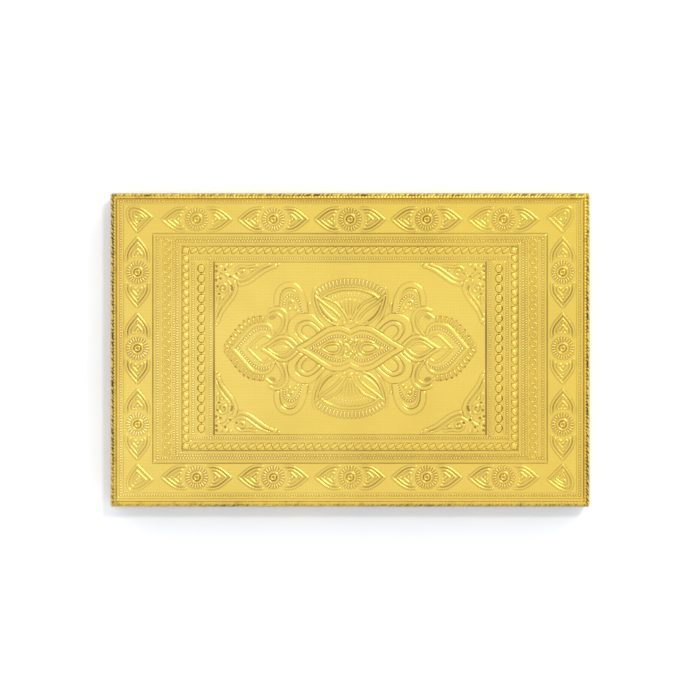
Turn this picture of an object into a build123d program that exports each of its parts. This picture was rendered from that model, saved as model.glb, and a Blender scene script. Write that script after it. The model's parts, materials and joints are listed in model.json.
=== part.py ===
"""Paperweight: a ballasted wooden block clad in stamped brass sheet, standing on a felt pad.

Millimetres. +X runs along the long side, +Y points to the back, +Z is up. The origin is on the
underside of the felt pad, in the middle of the block.
"""
import os

from build123d import *

# Whole block
overall_w = 152.0
overall_d = 99.6
overall_h = 20.0
corner_r = 1.6              # corners of the block seen from above

# Brass cladding
sheet_t = 0.4               # thickness of the top sheet and of the side strips
relief_h = 0.5              # tallest stamped ridge above the flat of the top sheet
arris_r = 1.4               # outside radius where a side strip folds over the top edge
base_bend_r = 0.6           # outside radius where a side strip turns under the block
lip_w = 1.8                 # reach of the folded lip over the top, from the outer face
flange_w = 6.0              # reach of the turned-under edge below the block

# Stamped pattern, measured from its own centre, which lies a little towards the back
pattern_shift_y = 0.5
border_frames = (           # half width, half depth, band width and height of each raised frame
    (73.9, 47.3, 1.5, 0.5),
    (62.1, 36.2, 2.4, 0.4),
    (56.2, 35.1, 2.6, 0.4),
    (52.9, 32.3, 2.1, 0.5),
    (49.9, 29.4, 1.6, 0.4),
    (45.3, 28.9, 1.6, 0.4),
)
eye_length = 21.5
eye_width = 7.4
eye_height = 0.3
eye_flower_r = 3.7
eye_row_count = 5           # eyes along the front and along the back
eye_row_pitch = 24.3
eye_row_y = 41.1
eye_column_count = 3        # eyes along each end
eye_column_pitch = 24.1
eye_column_x = 67.4
medallion_height = 0.35
medallion_eye_length = 33.0
medallion_eye_width = 14.4
side_eye_length = 15.8
side_eye_width = 8.0
side_eye_x = 22.0
lotus_w = 22.0              # lotus above and below the middle eye
lotus_d = 14.0
lotus_y = 13.4
mango_w = 10.0              # curled mango leaf at each shoulder of the medallion
mango_d = 15.0
mango_x = 18.6
mango_y = 13.2
mango_turn = 18.0

# Felt, core and base panel
felt_t = 1.5
felt_inset = 2.0
felt_corner_r = 3.0
core_arris_r = 0.6
core_base_r = 0.3
panel_w = 130.0
panel_d = 80.0
panel_t = 3.0
panel_corner_r = 3.0
panel_gap = 0.2             # clearance round the panel in its rebate

# Ballast
ballast_w = 110.0
ballast_d = 62.0
ballast_t = 8.0
ballast_gap = 0.5           # clearance round the plate in its pocket
ballast_corner_r = 4.0
ballast_edge = 0.5          # chamfer round the plate's lower edge

# Fasteners
screw_r = 1.5
screw_head_r = 3.0
screw_head_h = 1.5
screw_hole_r = 1.7
base_screw_length = 12.0
base_screw_spacing = (120.0, 71.0)
ballast_screw_length = 13.0
ballast_screw_spacing = (90.0, 42.0)
tack_r = 0.5
tack_head_r = 1.1
tack_head_h = 0.6
tack_length = 9.0
tack_row_count = 5          # tacks along the front and along the back
tack_row_pitch = 30.0
tack_column_count = 3       # tacks along each end
tack_column_pitch = 28.0

# Levels and sizes that follow from the ones above
flange_z = felt_t
core_z0 = flange_z + sheet_t
core_z1 = overall_h - relief_h - sheet_t
sheet_top_z = core_z1 + sheet_t
lip_top_z = sheet_top_z + sheet_t
core_w = overall_w - 2 * sheet_t
core_d = overall_d - 2 * sheet_t
core_corner_r = corner_r - sheet_t
panel_top_z = flange_z + panel_t
ballast_top_z = panel_top_z + ballast_gap + ballast_t
ballast_z0 = ballast_top_z - ballast_t

os.makedirs("parts", exist_ok=True)
finished = []


def finish(builder, name):
    """Label a finished piece and write it out."""
    builder.part.label = name
    export_step(builder.part, f"parts/{name}.step")
    finished.append(name)


def screw_section(head_z, head_r, shank_r, head_h, length):
    """Half section, in the XZ plane, of a countersunk screw or tack that points up from head_z."""
    with BuildSketch(Plane.XZ) as section:
        with BuildLine():
            Polyline(
                (0, head_z),
                (head_r, head_z),
                (shank_r, head_z + head_h),
                (shank_r, head_z + length - 2 * shank_r),
                (0, head_z + length),
                close=True,
            )
        make_face()
    return section.sketch


def lens(length, width):
    """Pointed lens between two arcs, along X."""
    with BuildSketch() as outline:
        with BuildLine():
            ThreePointArc((-length / 2, 0), (0, width / 2), (length / 2, 0))
            ThreePointArc((length / 2, 0), (0, -width / 2), (-length / 2, 0))
        make_face()
    return outline.sketch


# Felt pad
with BuildPart() as felt_pad:
    with BuildSketch(Plane.XY):
        RectangleRounded(overall_w - 2 * felt_inset, overall_d - 2 * felt_inset, felt_corner_r)
    extrude(amount=felt_t)
finish(felt_pad, "felt_pad")


# One screw of each kind, placed as a group of four by its spacing
with BuildPart() as base_screw:
    revolve(screw_section(flange_z, screw_head_r, screw_r, screw_head_h, base_screw_length), Axis.Z)
with BuildPart() as base_screws:
    with GridLocations(*base_screw_spacing, 2, 2):
        add(base_screw.part)
finish(base_screws, "base_screws")

with BuildPart() as ballast_screw:
    revolve(screw_section(ballast_z0, screw_head_r, screw_r, screw_head_h, ballast_screw_length), Axis.Z)
with BuildPart() as ballast_screws:
    with GridLocations(*ballast_screw_spacing, 2, 2):
        add(ballast_screw.part)
finish(ballast_screws, "ballast_screws")


# Tacks under the turned-under flanges, with small countersunk heads
with BuildPart() as tack:
    revolve(screw_section(flange_z, tack_head_r, tack_r, tack_head_h, tack_length), Axis.Z)
with BuildPart() as cladding_tacks:
    with GridLocations(tack_row_pitch, overall_d - flange_w, tack_row_count, 2):
        add(tack.part)
    with GridLocations(overall_w - flange_w, tack_column_pitch, 2, tack_column_count):
        add(tack.part)
finish(cladding_tacks, "cladding_tacks")


# Base panel, with countersunk holes for its screws
with BuildPart() as base_panel:
    with BuildSketch(Plane.XY.offset(flange_z)):
        RectangleRounded(panel_w, panel_d, panel_corner_r)
    extrude(amount=panel_t)
    add(base_screws.part, mode=Mode.SUBTRACT)
finish(base_panel, "base_panel")


# Ballast plate, with countersunk clearance holes for its screws
with BuildPart() as ballast_plate:
    with BuildSketch(Plane.XY.offset(ballast_z0)):
        RectangleRounded(ballast_w, ballast_d, ballast_corner_r)
    extrude(amount=ballast_t)
    chamfer(ballast_plate.edges().group_by(Axis.Z)[0], length=ballast_edge)
    with BuildSketch(Plane.XY.offset(ballast_z0)):
        with GridLocations(*ballast_screw_spacing, 2, 2):
            Circle(screw_hole_r)
    extrude(amount=ballast_t, mode=Mode.SUBTRACT)
    add(ballast_screws.part, mode=Mode.SUBTRACT)
finish(ballast_plate, "ballast_plate")


# Wood core: rebate for the base panel, pocket for the ballast, pilot holes
with BuildPart() as wood_core:
    with BuildSketch(Plane.XY.offset(core_z0)):
        RectangleRounded(core_w, core_d, core_corner_r)
    extrude(amount=core_z1 - core_z0)
    fillet(wood_core.edges().group_by(Axis.Z)[-1], radius=core_arris_r)
    fillet(wood_core.edges().group_by(Axis.Z)[0], radius=core_base_r)
    with BuildSketch(Plane.XY.offset(core_z0)):
        RectangleRounded(panel_w + 2 * panel_gap, panel_d + 2 * panel_gap, panel_corner_r)
    extrude(amount=panel_top_z - core_z0, mode=Mode.SUBTRACT)
    with BuildSketch(Plane.XY.offset(panel_top_z)):
        RectangleRounded(ballast_w + 2 * ballast_gap, ballast_d + 2 * ballast_gap, ballast_corner_r)
    extrude(amount=ballast_top_z - panel_top_z, mode=Mode.SUBTRACT)
    add(base_screws.part, mode=Mode.SUBTRACT)
    add(ballast_screws.part, mode=Mode.SUBTRACT)
    add(cladding_tacks.part, mode=Mode.SUBTRACT)
finish(wood_core, "wood_core")


# Top sheet: flat sheet trapped under the lips, with the main masses of the stamped pattern
pattern_plane = Plane.XY.offset(sheet_top_z)
pattern_centre = (0, pattern_shift_y)
with BuildPart() as top_sheet:
    with BuildSketch(Plane.XY.offset(core_z1)):
        Rectangle(core_w - 2 * (arris_r - sheet_t), core_d - 2 * (arris_r - sheet_t))
    extrude(amount=sheet_t)
    for half_w, half_d, band_w, height in border_frames:
        with BuildSketch(pattern_plane):
            with Locations(pattern_centre):
                Rectangle(2 * half_w, 2 * half_d)
                Rectangle(2 * (half_w - band_w), 2 * (half_d - band_w), mode=Mode.SUBTRACT)
        extrude(amount=height)
    with BuildSketch(pattern_plane):
        with Locations(pattern_centre):
            with GridLocations(eye_row_pitch, 2 * eye_row_y, eye_row_count, 2):
                add(lens(eye_length, eye_width))
                Circle(eye_flower_r)
            with GridLocations(2 * eye_column_x, eye_column_pitch, 2, eye_column_count):
                add(lens(eye_length, eye_width), rotation=90)
                Circle(eye_flower_r)
    extrude(amount=eye_height)
    with BuildSketch(pattern_plane):
        with Locations(pattern_centre):
            add(lens(medallion_eye_length, medallion_eye_width))
            with GridLocations(2 * side_eye_x, 1, 2, 1):
                add(lens(side_eye_length, side_eye_width))
            with GridLocations(1, 2 * lotus_y, 1, 2):
                Ellipse(lotus_w / 2, lotus_d / 2)
        for x_sign in (-1, 1):
            for y_sign in (-1, 1):
                with Locations((x_sign * mango_x, pattern_shift_y + y_sign * mango_y)):
                    Ellipse(mango_w / 2, mango_d / 2, rotation=x_sign * y_sign * mango_turn)
    extrude(amount=medallion_height)
finish(top_sheet, "top_sheet")


# Side cladding: one thin shell with a folded lip above and a turned-under flange below, then
# mitred at the corners into its four strips
with BuildPart() as cladding:
    with BuildSketch(Plane.XY.offset(flange_z)):
        RectangleRounded(overall_w, overall_d, corner_r)
    extrude(amount=lip_top_z - flange_z)
    fillet(cladding.edges().group_by(Axis.Z)[-1], radius=arris_r)
    fillet(cladding.edges().group_by(Axis.Z)[0], radius=base_bend_r)
with BuildPart() as cladding_inside:
    with BuildSketch(Plane.XY.offset(core_z0)):
        RectangleRounded(core_w, core_d, core_corner_r)
    extrude(amount=sheet_top_z - core_z0)
    fillet(cladding_inside.edges().group_by(Axis.Z)[-1], radius=arris_r - sheet_t)
    fillet(cladding_inside.edges().group_by(Axis.Z)[0], radius=base_bend_r - sheet_t)
    with BuildSketch(Plane.XY.offset(sheet_top_z)):
        Rectangle(overall_w - 2 * lip_w, overall_d - 2 * lip_w)
    extrude(amount=sheet_t)
    with BuildSketch(Plane.XY.offset(flange_z)):
        Rectangle(overall_w - 2 * flange_w, overall_d - 2 * flange_w)
    extrude(amount=sheet_t)
with BuildPart() as cladding_shell:
    add(cladding.part)
    add(cladding_inside.part, mode=Mode.SUBTRACT)
    add(cladding_tacks.part, mode=Mode.SUBTRACT)

# The mitres run at 45 degrees from each corner, so the long strips' wedges end on the X axis
half_w = overall_w / 2
half_d = overall_d / 2
mitre_x = half_w - half_d
strip_outlines = {
    "front": ((-half_w, -half_d), (half_w, -half_d), (mitre_x, 0), (-mitre_x, 0)),
    "back": ((-half_w, half_d), (-mitre_x, 0), (mitre_x, 0), (half_w, half_d)),
    "left": ((-half_w, -half_d), (-mitre_x, 0), (-half_w, half_d)),
    "right": ((half_w, -half_d), (half_w, half_d), (mitre_x, 0)),
}
for side, outline in strip_outlines.items():
    with BuildPart() as side_strip:
        add(cladding_shell.part)
        with BuildSketch():
            with BuildLine():
                Polyline(*outline, close=True)
            make_face()
        extrude(amount=overall_h, mode=Mode.INTERSECT)
    finish(side_strip, f"side_strip_{side}")

print(f"{len(finished)} nodes:", ", ".join(finished))
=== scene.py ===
"""Looks of a desk paperweight: a wooden block clad in stamped brass sheet, on a felt pad.

Lengths of the stamped pattern are in millimetres, measured from the pattern's centre. The pattern
is the same in its four quarters, so its outlines are given once, for the quarter where x and y are
positive. Everything that reaches a mesh is in metres, in the frame of the CAD model.
"""
import json
import math

import bmesh
import bpy
import numpy as np
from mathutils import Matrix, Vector

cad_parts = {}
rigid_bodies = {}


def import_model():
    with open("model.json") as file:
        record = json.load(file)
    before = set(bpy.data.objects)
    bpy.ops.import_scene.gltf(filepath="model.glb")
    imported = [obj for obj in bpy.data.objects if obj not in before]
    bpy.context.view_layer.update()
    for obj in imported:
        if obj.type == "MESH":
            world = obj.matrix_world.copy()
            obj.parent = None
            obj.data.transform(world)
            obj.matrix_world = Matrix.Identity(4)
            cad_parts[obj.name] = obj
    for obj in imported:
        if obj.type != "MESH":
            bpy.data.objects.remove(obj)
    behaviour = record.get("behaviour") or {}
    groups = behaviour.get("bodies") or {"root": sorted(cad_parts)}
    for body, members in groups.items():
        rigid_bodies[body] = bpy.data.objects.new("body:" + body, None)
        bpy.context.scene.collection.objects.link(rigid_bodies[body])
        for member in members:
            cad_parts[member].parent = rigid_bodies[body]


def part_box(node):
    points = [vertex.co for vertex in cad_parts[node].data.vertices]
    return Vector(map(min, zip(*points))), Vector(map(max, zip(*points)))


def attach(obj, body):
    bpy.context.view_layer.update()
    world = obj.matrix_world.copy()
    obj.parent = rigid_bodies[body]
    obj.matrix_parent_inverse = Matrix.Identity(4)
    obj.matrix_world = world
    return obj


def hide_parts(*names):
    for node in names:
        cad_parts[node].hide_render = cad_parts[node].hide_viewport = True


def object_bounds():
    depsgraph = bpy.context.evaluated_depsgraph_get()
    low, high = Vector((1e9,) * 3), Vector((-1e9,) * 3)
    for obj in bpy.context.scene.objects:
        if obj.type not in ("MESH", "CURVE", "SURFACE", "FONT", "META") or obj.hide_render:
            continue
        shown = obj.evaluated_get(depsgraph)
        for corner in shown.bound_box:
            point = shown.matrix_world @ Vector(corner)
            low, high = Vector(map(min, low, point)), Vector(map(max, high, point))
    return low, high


bl_info = {
    "name": "Stamped Brass Paperweight",
    "version": (1, 0, 0),
    "blender": (4, 5, 0),
    "location": "View3D > Sidebar > Paperweight",
    "description": "Builds the stamped cladding, the felt and the finishes of a desk paperweight",
    "category": "Add Mesh",
}

MM = 0.001
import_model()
cad_low, cad_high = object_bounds()
sheet_low, sheet_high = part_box("top_sheet")
strip_low, strip_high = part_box("side_strip_front")
felt_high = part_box("felt_pad")[1]

# --- Sizes read from the frame, in millimetres --------------
BLOCK_W = (cad_high.x - cad_low.x) / MM
BLOCK_D = (cad_high.y - cad_low.y) / MM
SHEET_BASE_Z = sheet_low.z / MM
STRIP_TOP_Z = strip_high.z / MM
STRIP_BASE_Z = strip_low.z / MM
SHEET_T = 0.4               # thickness of the brass
LIP_W = 1.8                 # reach of the strips' lip over the top sheet
FLANGE_W = 6.0              # reach of the strips' flange under the block
CORNER_R = 0.7
ARRIS_R = 1.4
BASE_BEND_R = 0.6
PATTERN_Y = 0.5             # the pattern's centre lies this far behind the block's
GROOVE_ROOM = 0.18          # kept below the sheet's flat for the deepest groove
FLAT_Z = SHEET_BASE_Z + SHEET_T + GROOVE_ROOM


# --- What a user would change -------------------------------
class PaperweightSizes(bpy.types.PropertyGroup):
    """Sizes of the stamped work."""
    cell: bpy.props.FloatProperty(
        name="Sheet cell", description="Spacing of the top sheet's mesh", default=0.16 * MM,
        min=0.1 * MM, max=1.0 * MM, precision=5, unit="LENGTH", subtype="DISTANCE")
    strip_cell: bpy.props.FloatProperty(
        name="Strip cell", description="Spacing of the side strips' mesh", default=0.25 * MM,
        min=0.2 * MM, max=1.0 * MM, precision=5, unit="LENGTH", subtype="DISTANCE")
    relief: bpy.props.FloatProperty(
        name="Relief", description="Height of a full ridge above the flat of the sheet",
        default=0.28 * MM, min=0.05 * MM, max=0.3 * MM, precision=5,
        unit="LENGTH", subtype="DISTANCE")
    strip_relief: bpy.props.FloatProperty(
        name="Strip relief", description="Height of the stamping on the side strips",
        default=0.3 * MM, min=0.05 * MM, max=0.36 * MM, precision=5,
        unit="LENGTH", subtype="DISTANCE")
    bead_pitch: bpy.props.FloatProperty(
        name="Bead pitch", description="Spacing of the small beads and ladder rungs",
        default=0.82 * MM, min=0.4 * MM, max=2.0 * MM, precision=5,
        unit="LENGTH", subtype="DISTANCE")


class PaperweightColours(bpy.types.PropertyGroup):
    """Colours of the finishes."""
    brass: bpy.props.FloatVectorProperty(
        name="Brass", description="Gold-toned brass of the cladding", subtype="COLOR", size=3,
        min=0.0, max=1.0, default=(0.832, 0.612, 0.122))
    warm_brass: bpy.props.FloatVectorProperty(
        name="Warm brass", description="Redder tone towards the edges", subtype="COLOR", size=3,
        min=0.0, max=1.0, default=(0.785, 0.54, 0.083))
    # Deeper, more orange tone towards the back right corner
    deep_brass: bpy.props.FloatVectorProperty(
        name="Deep brass", description="Stronger lacquer towards the back right corner",
        subtype="COLOR", size=3, min=0.0, max=1.0, default=(0.79, 0.55, 0.05))
    # Paler brass on the bosses, a painted highlight
    burnished: bpy.props.FloatVectorProperty(
        name="Burnished brass", description="Paler tops of the beads and teeth", subtype="COLOR",
        size=3, min=0.0, max=1.0, default=(1.0, 0.84, 0.3))
    # Brown of the patina and painted shade in the hollows
    patina_shade: bpy.props.FloatVectorProperty(
        name="Patina and painted shade", description="Brown film in the hollows of the stamping", subtype="COLOR",
        size=3, min=0.0, max=1.0, default=(0.24, 0.13, 0.025))
    felt: bpy.props.FloatVectorProperty(
        name="Felt", description="Wool felt under the block", subtype="COLOR", size=3,
        min=0.0, max=1.0, default=(0.035, 0.12, 0.07))
    wood: bpy.props.FloatVectorProperty(
        name="Wood", description="Core of the block", subtype="COLOR", size=3,
        min=0.0, max=1.0, default=(0.42, 0.26, 0.14))


# --- Lines --------------------------------------------------
def smooth_line(points, steps=8):
    """Smooth line through points, as an array of rows."""
    points = np.asarray(points, float)
    closed = np.allclose(points[0], points[-1])
    before = points[-2] if closed else 2 * points[0] - points[1]
    after = points[1] if closed else 2 * points[-1] - points[-2]
    knots = np.vstack([before, points, after])
    t = np.linspace(0, 1, steps, endpoint=False)[:, None]
    spans = []
    for a, b, c, d in zip(knots, knots[1:], knots[2:], knots[3:]):
        spans.append(0.5 * (2 * b + (c - a) * t + (2 * a - 5 * b + 4 * c - d) * t ** 2
                            + (3 * b - a - 3 * c + d) * t ** 3))
    return np.vstack([*spans, points[-1:]])


def ring_line(x, y, radius_x, radius_y=None, turn=0.0, steps=28):
    """Closed ellipse round x, y, turned by an angle in degrees."""
    radius_y = radius_x if radius_y is None else radius_y
    angle = np.linspace(0, 2 * math.pi, steps + 1)
    across, up = radius_x * np.cos(angle), radius_y * np.sin(angle)
    c, s = math.cos(math.radians(turn)), math.sin(math.radians(turn))
    return np.column_stack([x + c * across - s * up, y + s * across + c * up])


def mirrored(points, flip_x, flip_y):
    """Points with their signs changed."""
    return np.asarray(points, float) * (flip_x, flip_y)


def in_quarters(paths):
    """Each path and its mirror images in the other three quarters."""
    return [mirrored(p, fx, fy) for p in paths for fx in (1, -1) for fy in (1, -1)]


# --- Stamped relief as a height over one quarter of the pattern 
def smoothstep(t):
    """0 to 1 with an easy start and end."""
    t = np.clip(t, 0, 1)
    return t * t * (3 - 2 * t)


class Relief:
    """Heights of the stamped sheet over the quarter with x and y positive, as shares of a ridge."""

    def __init__(self, width, depth, cell):
        self.cell = cell
        self.x = np.arange(0, width + cell, cell)
        self.y = np.arange(0, depth + cell, cell)
        self.raised = np.zeros((len(self.y), len(self.x)))
        self.sunk = np.zeros_like(self.raised)
        # Share of patina and painted shade that each cell gets
        self.patina_and_shade = np.zeros_like(self.raised)

    def near(self, points, reach):
        """Window of cells within reach of points, and the cells' places."""
        low, high = points.min(0) - reach, points.max(0) + reach
        columns = slice(*np.searchsorted(self.x, (low[0], high[0])))
        rows = slice(*np.searchsorted(self.y, (low[1], high[1])))
        return (rows, columns), *np.meshgrid(self.x[columns], self.y[rows])

    def distance(self, points, x, y):
        """Distance from each cell to the line through points."""
        best = np.full(x.shape, np.inf)
        for (ax, ay), (bx, by) in zip(points, points[1:]):
            dx, dy = bx - ax, by - ay
            length2 = max(dx * dx + dy * dy, 1e-12)
            t = np.clip(((x - ax) * dx + (y - ay) * dy) / length2, 0, 1)
            best = np.minimum(best, (x - ax - t * dx) ** 2 + (y - ay - t * dy) ** 2)
        return np.sqrt(best)

    def press(self, window, heights):
        """Raise the sheet to heights, where it is lower."""
        self.raised[window] = np.maximum(self.raised[window], heights)

    def dent(self, window, depths, patina_and_shade):
        """Sink the sheet to depths, where it is shallower, with patina and painted shade in the
        hollow.
        """
        self.sunk[window] = np.maximum(self.sunk[window], depths)
        self.patina_and_shade[window] = np.maximum(self.patina_and_shade[window], patina_and_shade)

    def ridge(self, points, half_width=0.3, height=1.0):
        """Rounded ridge along a line."""
        window, x, y = self.near(points, half_width)
        d = np.clip(self.distance(points, x, y) / half_width, 0, 1)
        self.press(window, height * np.cos(d * math.pi / 2) ** 1.5)

    def band(self, points, half_width=0.6, height=0.75, edge=0.42):
        """Flat-topped band along a line, with a fine rim each side, laid over what it crosses."""
        gap = 0.4
        window, x, y = self.near(points, half_width + gap)
        d = self.distance(points, x, y)
        self.raised[window] *= smoothstep((d - half_width) / gap)
        top = smoothstep((half_width - d) / edge)
        rim = 0.16 * np.cos(np.clip((half_width - 0.4 - d) / 0.34, -1, 1) * math.pi / 2) ** 2
        self.press(window, height * (0.84 + rim) * top)

    def groove(self, points, half_width=0.3, depth=0.4, patina_and_shade=0.0):
        """Rounded groove along a line, with patina and painted shade in it where asked for."""
        window, x, y = self.near(points, half_width)
        d = np.clip(self.distance(points, x, y) / half_width, 0, 1)
        self.dent(window, depth * np.cos(d * math.pi / 2) ** 2,
                  patina_and_shade * smoothstep((1 - d) / 0.35))

    def oval(self, x0, y0, radius_x, radius_y, turn):
        """Window round an oval, and the squared distance of each cell, which is 1 at the rim."""
        window, x, y = self.near(np.array([[x0, y0]]), max(radius_x, radius_y))
        c, s = math.cos(math.radians(turn)), math.sin(math.radians(turn))
        along, across = c * (x - x0) + s * (y - y0), c * (y - y0) - s * (x - x0)
        return window, (along / radius_x) ** 2 + (across / radius_y) ** 2

    def dome(self, x0, y0, radius_x, radius_y=None, height=0.8, turn=0.0):
        """Oval boss."""
        window, r2 = self.oval(x0, y0, radius_x, radius_y or radius_x, turn)
        self.press(window, height * np.sqrt(np.clip(1 - r2, 0, 1)))

    def dimple(self, x0, y0, radius_x, radius_y, depth, turn=0.0, patina_and_shade=0.0):
        """Oval hollow, with patina and painted shade in it where asked for."""
        window, r2 = self.oval(x0, y0, radius_x, radius_y, turn)
        self.dent(window, depth * smoothstep(1 - r2), patina_and_shade * smoothstep((1 - r2) / 0.6))

    def pit(self, x0, y0, radius=0.42):
        """Deep round hole with dark patina and painted shade in it, through whatever stands there.
        """
        window, x, y = self.near(np.array([[x0, y0]]), 1.6 * radius)
        r = np.hypot(x - x0, y - y0) / radius
        self.raised[window] *= smoothstep((r - 0.7) / 0.7)
        self.dent(window, 0.6 * smoothstep(1.3 - r), smoothstep((1.25 - r) / 0.4))

    def frame_ridge(self, half_w, half_d, half_width=0.3, height=1.0, sunk=False, patina_and_shade=0.0):
        """Ridge or groove along a rectangle round the pattern's centre, mitred at the corner."""
        x, y = np.meshgrid(self.x, self.y)
        d = np.abs(np.maximum(x - half_w, y - half_d))
        profile = np.cos(np.clip(d / half_width, 0, 1) * math.pi / 2)
        if sunk:
            # A groove gets patina and painted shade where asked for
            self.dent(..., height * profile ** 2, patina_and_shade * smoothstep(profile / 0.6))
        else:
            self.press(..., height * profile ** 1.5)

    def heights(self):
        """Grooves show only where no ridge has been raised over them."""
        return np.where(self.raised > 0.05, self.raised, self.raised - self.sunk)


# Nested frames, as half width and half depth
BORDER_GROOVE = (71.75, 45.8)
BORDER_RIDGE = (73.45, 47.2)
BORDER_LADDER = (72.65, 46.5)
FRAME_RIDGES = ((61.9, 35.7), (53.7, 33.1), (50.6, 29.5))
FRAME_GROOVES = ((62.5, 36.4), (53.3, 32.3), (43.1, 27.3))
FRAME_LADDERS = ((61.0, 34.8), (54.75, 33.95))
INNER_LADDER = (44.2, 28.4)     # its back and front run on to INNER_LADDER_END
INNER_LADDER_END = 50.1
LEAF_FRAME = (52.0, 31.0)
FIELD = (43.1, 27.3)

# Columns let in at the two ends: x, and the half depth that each one reaches
COLUMN_RIDGES = ((59.8, 34.2), (56.6, 34.2), (48.9, 27.2), (45.3, 27.2))
COLUMN_LADDERS = ((55.8, 34.1), (49.75, 27.0))
RING_COLUMN = (58.15, 33.6)
DISC_COLUMN = (47.1, 25.3)
DISC_PITCH = 3.16

# Eyes of the border
EYE_ROW_Y = 40.85
EYE_ROW_PITCH = 24.3
EYE_COLUMN_X = 67.35
EYE_COLUMN_PITCH = 24.1
FLOWER_MIDDLE = 2.95        # middle of the flowers' rays
FLOWER_RAY = 2.05


def eye_places():
    """Centre of each eye of the quarter, and whether it stands on end."""
    row = [(i * EYE_ROW_PITCH, EYE_ROW_Y, False) for i in range(3)]
    column = [(EYE_COLUMN_X, i * EYE_COLUMN_PITCH, True) for i in range(2)]
    return row + column


def placed(points, x, y, upright):
    """Points of a motif drawn along x, moved to its place and stood on end if it is upright."""
    points = np.asarray(points, float)
    if upright:
        points = points[:, ::-1]
    return points + (x, y)


# One leaf of an eye, from the tip outward: outline, inner line and vein, above the middle line
EYE_OUTLINE = ((11.0, 0.0), (9.5, 1.3), (7.8, 2.6), (6.3, 3.35), (4.8, 3.6), (3.4, 3.5))
EYE_INNER = ((9.3, 0.0), (7.9, 1.3), (6.4, 2.3), (5.2, 2.6), (4.4, 2.3))
EYE_VEIN = ((7.4, 0.0), (6.5, 0.8), (5.6, 1.5), (4.9, 1.2), (5.1, 0.5))


def stamp_eye(relief, x, y, upright):
    """Pointed eye: two veined leaves with a flower between them."""
    for end in (-1, 1):
        for side in (-1, 1):
            for line, half_width, height in ((EYE_OUTLINE, 0.36, 1.0), (EYE_INNER, 0.3, 0.85),
                                             (EYE_VEIN, 0.28, 0.75)):
                line = mirrored(smooth_line(line), end, side)
                relief.ridge(placed(line, x, y, upright), half_width, height)
        for along, radius in ((8.2, 0.3), (5.9, 0.34)):
            drop = placed([(end * along, 0)], x, y, upright)[0]
            relief.dome(drop[0], drop[1], radius, height=0.8)
    # Patina and painted shade in the flower's grooves
    relief.groove(ring_line(x, y, FLOWER_MIDDLE), 1.0, 0.4, patina_and_shade=0.4)
    relief.ridge(ring_line(x, y, 1.6), 0.42, 1.05)
    relief.ridge(ring_line(x, y, 0.72), 0.3, 0.85)
    relief.groove(ring_line(x, y, 1.12), 0.2, 0.3, patina_and_shade=0.3)


CORNER_LEAF = ((62.7, 41.6), (64.2, 42.9), (66.0, 44.2), (67.8, 44.9), (69.4, 44.8), (70.3, 43.9),
               (70.5, 42.3), (69.9, 40.4), (68.7, 38.6), (67.4, 36.9))
CORNER_LEAF_INNER = ((64.5, 41.7), (66.3, 43.1), (68.0, 43.8), (69.2, 43.3), (69.3, 42.0),
                     (68.8, 40.4), (67.6, 38.7))
CORNER_LEAF_CURLS = (
    ((65.4, 41.4), (66.6, 42.4), (67.9, 42.8), (68.3, 42.0), (67.6, 41.5)),
    ((67.3, 39.6), (68.1, 40.6), (68.3, 41.2)),
    ((65.9, 40.8), (66.6, 40.9), (67.0, 40.3)),
)


def stamp_corner_leaf(relief):
    """Rounded leaf in each corner of the border."""
    relief.ridge(smooth_line(CORNER_LEAF), 0.34, 0.9)
    relief.ridge(np.array([CORNER_LEAF[-1], CORNER_LEAF[0]]), 0.36, 1.0)
    relief.ridge(smooth_line(CORNER_LEAF_INNER), 0.28, 0.7)
    relief.ridge(np.array([CORNER_LEAF_INNER[-1], CORNER_LEAF_INNER[0]]), 0.28, 0.7)
    for curl in CORNER_LEAF_CURLS:
        relief.ridge(smooth_line(curl), 0.26, 0.75)


# Spandrel leaf: distance from the field's corner along one side, and out from that side
SPANDREL_BACK = ((6.4, 6.4), (7.4, 6.8), (8.9, 7.0), (11.4, 6.0), (13.8, 4.3), (16.2, 2.6),
                 (18.4, 1.6))
SPANDREL_VEIN = ((6.0, 4.4), (8.0, 5.5), (10.2, 5.0), (12.4, 3.4), (14.6, 1.9), (16.8, 1.0))
SPANDREL_CURL = ((13.4, 1.1), (10.6, 1.5), (8.6, 1.3), (7.2, 2.2), (7.3, 3.5), (8.5, 4.1),
                 (9.6, 3.5), (9.4, 2.6), (8.6, 2.6))
SPANDREL_FOOT = ((1.0, 3.2), (2.4, 3.0), (3.8, 3.8), (4.8, 5.2))
SPANDREL_TIP = (19.3, 1.2)
SPANDREL_PITS = ((0.8, 1.3), (0.7, 2.8), (3.5, 2.4), (0.7, 5.7), (1.1, 7.7), (1.6, 10.1),
                 (5.1, 4.6), (7.1, 3.7), (5.5, 7.6), (5.7, 8.2), (5.75, 8.8), (2.0, 5.2))


def stamp_spandrel(relief):
    """Two curled leaves that spring from each corner of the field, along its two sides."""
    corner = np.array(FIELD)
    for along_x in (True, False):
        def put(points):
            points = np.asarray(points, float)
            return corner - (points if along_x else points[:, ::-1] * (1.0, 0.96))
        relief.band(smooth_line(put(SPANDREL_BACK)), 0.62, 0.85)
        relief.ridge(smooth_line(put(SPANDREL_VEIN)), 0.36, 0.75)
        relief.ridge(smooth_line(put(SPANDREL_CURL)), 0.42, 0.9)
        relief.ridge(smooth_line(put(SPANDREL_FOOT)), 0.4, 0.85)
        tip = put([SPANDREL_TIP])[0]
        relief.dome(tip[0], tip[1], 0.75, height=0.95)
        for s, t, r in ((17.4, 0.75, 0.4), (20.5, 0.7, 0.4), (5.2, 1.0, 0.55), (11.8, 2.5, 0.4)):
            spot = put([(s, t)])[0]
            relief.dome(spot[0], spot[1], r, height=0.8)
    for s, t, r in ((1.9, 1.9, 1.05), (3.7, 1.2, 0.7), (1.2, 3.7, 0.7), (3.4, 3.2, 0.6)):
        relief.dome(corner[0] - s, corner[1] - t, r, height=0.9)
    for s, t in SPANDREL_PITS:
        relief.pit(corner[0] - s, corner[1] - t)


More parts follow.
